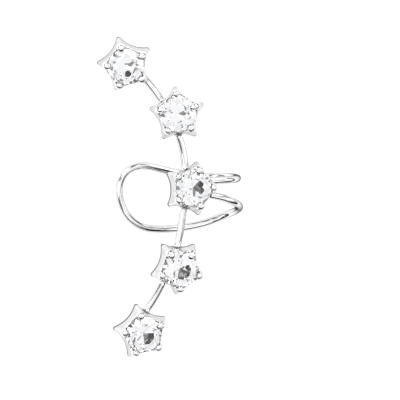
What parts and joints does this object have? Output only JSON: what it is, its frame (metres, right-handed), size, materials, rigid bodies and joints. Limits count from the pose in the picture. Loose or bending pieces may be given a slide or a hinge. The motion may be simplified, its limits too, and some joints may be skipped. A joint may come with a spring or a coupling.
{
  "type": "ear cuff",
  "caption": "Ear cuff: an arc of wire carries claw-set crystal stars, and a curled wire hairpin behind it grips the rim of the ear.",
  "frame": {"origin": "middle of the footprint, on the surface that the wire loop lies on", "axes": "+Y up the ear along the row of stars, +Z from the wire loop behind the ear towards the stars' faces, +X towards the bulge of the arc"},
  "size_m": [0.0174, 0.0358, 0.0093],
  "materials": {
    "silver": "polished",
    "crystal": "clear, facet cut"
  },
  "bodies": {
    "root": {"silver_frame": "silver", "crystal_1": "crystal", "crystal_2": "crystal", "crystal_3": "crystal", "crystal_4": "crystal", "crystal_5": "crystal"}
  },
  "joints": []
}
